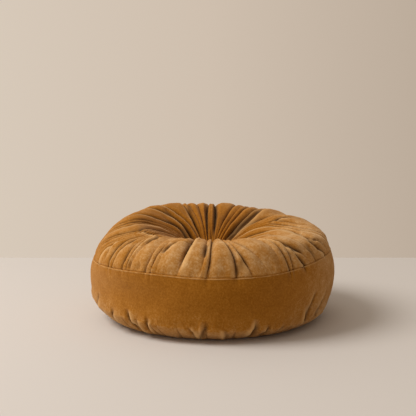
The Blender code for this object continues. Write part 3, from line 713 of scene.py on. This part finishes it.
def ochre_cotton_velvet():
    """The velvet, with its wear, painted crease shade, painted lip highlight and painted light from the
    cover's attributes, and patches of real size.
    """
    material = bpy.data.materials.new("ochre_cotton_velvet")
    material.use_nodes = True
    tree = material.node_tree
    place = add_node(tree, "ShaderNodeTexCoord").outputs["Object"]
    sunk, raised, worn = (add_node(tree, "ShaderNodeAttribute", {"attribute_name": name}).outputs["Fac"]
                          for name in ("sunk", "raised", "worn"))
    patches = add_node(tree, "ShaderNodeTexNoise", {}, {
        "Vector": place, "Scale": 1 / NAP_PATCH, "Detail": 4.0, "Roughness": 0.65})
    speckles = add_node(tree, "ShaderNodeTexNoise", {}, {
        "Vector": place, "Scale": 1 / NAP_SPECKLE, "Detail": 2.0, "Roughness": 0.8})
    grain = add_node(tree, "ShaderNodeTexNoise", {}, {
        "Vector": place, "Scale": 1 / PILE_GRAIN, "Detail": 2.0})
    patchy = add_node(tree, "ShaderNodeMapRange", {}, {
        "Value": patches.outputs["Fac"], "From Min": NOISE_LOW, "From Max": NOISE_HIGH,
        "To Min": -PATCH_CONTRAST, "To Max": PATCH_CONTRAST})
    speckled = add_node(tree, "ShaderNodeMapRange", {}, {
        "Value": speckles.outputs["Fac"], "From Min": NOISE_LOW, "From Max": NOISE_HIGH,
        "To Min": -SPECKLE_CONTRAST, "To Max": SPECKLE_CONTRAST})
    # The paleness of the worn nap, which also paints light, sheen and shade, broken up by its patches.
    patchy_wear_and_light = add_node(tree, "ShaderNodeMath", {"operation": "MULTIPLY_ADD"}, {
        0: patchy.outputs["Result"], 1: worn, 2: worn})
    wear_and_light_paleness = add_node(tree, "ShaderNodeMath", {"use_clamp": True}, {
        0: patchy_wear_and_light.outputs["Value"], 1: speckled.outputs["Result"]})
    wear_and_light_colour = add_node(tree, "ShaderNodeValToRGB", {"stops": WEAR_AND_LIGHT_COLOURS}, {"Fac": wear_and_light_paleness.outputs["Value"]})
    # Painted shade in the creases: the deeper the cloth lies, the darker its colour is painted.
    deep = add_node(tree, "ShaderNodeMapRange", {}, {
        "Value": sunk, "From Min": CREASE_FROM, "From Max": CREASE_FULL, "To Max": CREASE_SHARE})
    crease_shaded = add_node(tree, "ShaderNodeMix", {"data_type": "RGBA"}, {
        "Factor": deep.outputs["Result"], "A": wear_and_light_colour.outputs["Color"], "B": linear(CREASE_SHADE_COLOUR)})
    # Painted highlight on the lips and the seam's ridge: the higher they stand, the paler the colour.
    high = add_node(tree, "ShaderNodeMapRange", {}, {
        "Value": raised, "From Min": LIP_FROM, "From Max": LIP_FULL, "To Max": LIP_SHARE})
    colour_with_painted_light = add_node(tree, "ShaderNodeMix", {"data_type": "RGBA"}, {
        "Factor": high.outputs["Result"], "A": crease_shaded.outputs["Result"], "B": linear(LIP_HIGHLIGHT_COLOUR)})
    bump = add_node(tree, "ShaderNodeBump", {}, {
        "Strength": 0.5, "Distance": 0.6 * MM, "Height": grain.outputs["Fac"]})
    shader = tree.nodes["Principled BSDF"]
    tree.links.new(colour_with_painted_light.outputs["Result"], shader.inputs["Base Color"])
    tree.links.new(bump.outputs["Normal"], shader.inputs["Normal"])
    shader.inputs["Roughness"].default_value = 1.0
    shader.inputs["Specular IOR Level"].default_value = 0.0
    shader.inputs["Sheen Weight"].default_value = 0.25
    shader.inputs["Sheen Roughness"].default_value = 0.6
    shader.inputs["Sheen Tint"].default_value = linear("#FFDFB8")
    return material


cover = sew_cover()
cover.data.materials.append(ochre_cotton_velvet())
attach(cover, "root")
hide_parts("cushion")


# The floor that the cushion stands on: one plain sheet in pale matt paint, which takes the shadow. Its far
# edge lies a little behind the cushion, where the plain surround begins.
FLOOR_BACK = 0.56
FLOOR_FRONT = -3.0
FLOOR_SIDE = 3.0
floor_data = bpy.data.meshes.new("floor")
floor_corners = [(-FLOOR_SIDE, FLOOR_FRONT, 0), (FLOOR_SIDE, FLOOR_FRONT, 0),
                 (FLOOR_SIDE, FLOOR_BACK, 0), (-FLOOR_SIDE, FLOOR_BACK, 0)]
floor_data.from_pydata(floor_corners, [], [(0, 1, 2, 3)])
floor = bpy.data.objects.new("floor", floor_data)
bpy.context.scene.collection.objects.link(floor)
floor_paint = bpy.data.materials.new("pale_matt_paint")
floor_paint.use_nodes = True
floor_shader = floor_paint.node_tree.nodes["Principled BSDF"]
floor_shader.inputs["Base Color"].default_value = linear("#CCC8C4")
floor_shader.inputs["Roughness"].default_value = 0.9
floor_data.materials.append(floor_paint)


# The surround: plain beige air that lights the cushion softly from all sides. It is light on the left,
# dim on the right, and a little dimmer in front.
SURROUND_COLOURS = ((0.0, "#E6DDD2"), (0.38, "#D8CABA"), (0.5, "#CFBFAE"), (0.62, "#BAAA99"),
                    (1.0, "#8C8176"))
FRONT_STRENGTH = 0.85
FRONT_TO_BACK = (-0.6, 0.6)
world = bpy.data.worlds.new("beige_surround")
world.use_nodes = True
air = world.node_tree
direction = add_node(air, "ShaderNodeTexCoord").outputs["Generated"]
away = add_node(air, "ShaderNodeSeparateXYZ", {}, {"Vector": direction})
sideways = add_node(air, "ShaderNodeMapRange", {}, {"Value": away.outputs["X"], "From Min": -1.0})
beige = add_node(air, "ShaderNodeValToRGB", {"stops": SURROUND_COLOURS}, {
    "Fac": sideways.outputs["Result"]})
strength = add_node(air, "ShaderNodeMapRange", {}, {
    "Value": away.outputs["Y"], "From Min": FRONT_TO_BACK[0], "From Max": FRONT_TO_BACK[1],
    "To Min": FRONT_STRENGTH})
surround = air.nodes["Background"]
air.links.new(beige.outputs["Color"], surround.inputs["Color"])
air.links.new(strength.outputs["Result"], surround.inputs["Strength"])
bpy.context.scene.world = world


# The light: one large soft source, high on the left and a little in front, aimed at the cushion's middle.
LIGHT_PLACE = Vector((-2.5, -0.45, 2.8))
LIGHT_TARGET = Vector((0, 0, 0.1))
light_data = bpy.data.lights.new("key", "AREA")
light_data.shape = "DISK"
light_data.size = 2.1
light_data.energy = 112
light_data.color = linear("#FFFAF5")[:3]
light = bpy.data.objects.new("key", light_data)
light.location = LIGHT_PLACE
light.rotation_euler = (LIGHT_TARGET - LIGHT_PLACE).to_track_quat("-Z", "Y").to_euler()
bpy.context.scene.collection.objects.link(light)


# The camera stands where the photo was taken from, 1.9 m in front and half a metre up, looking down by
# CAMERA_DOWN degrees. The focal length was worked out in the photo's own pixels.
CAMERA_PLACE = (-0.0088, -1.9015, 0.499)
CAMERA_DOWN = 8.49
FOCAL_PIXELS = 957.35
PHOTO_PIXELS = 416
SENSOR_WIDTH = 36
camera_data = bpy.data.cameras.new("camera")
camera_data.sensor_width = SENSOR_WIDTH
camera_data.lens = FOCAL_PIXELS / PHOTO_PIXELS * SENSOR_WIDTH
camera = bpy.data.objects.new("camera", camera_data)
camera.location = CAMERA_PLACE
camera.rotation_euler = Euler((math.radians(90 - CAMERA_DOWN), 0, 0))
bpy.context.scene.collection.objects.link(camera)
bpy.context.scene.camera = camera
bpy.context.scene.view_settings.view_transform = "Standard"
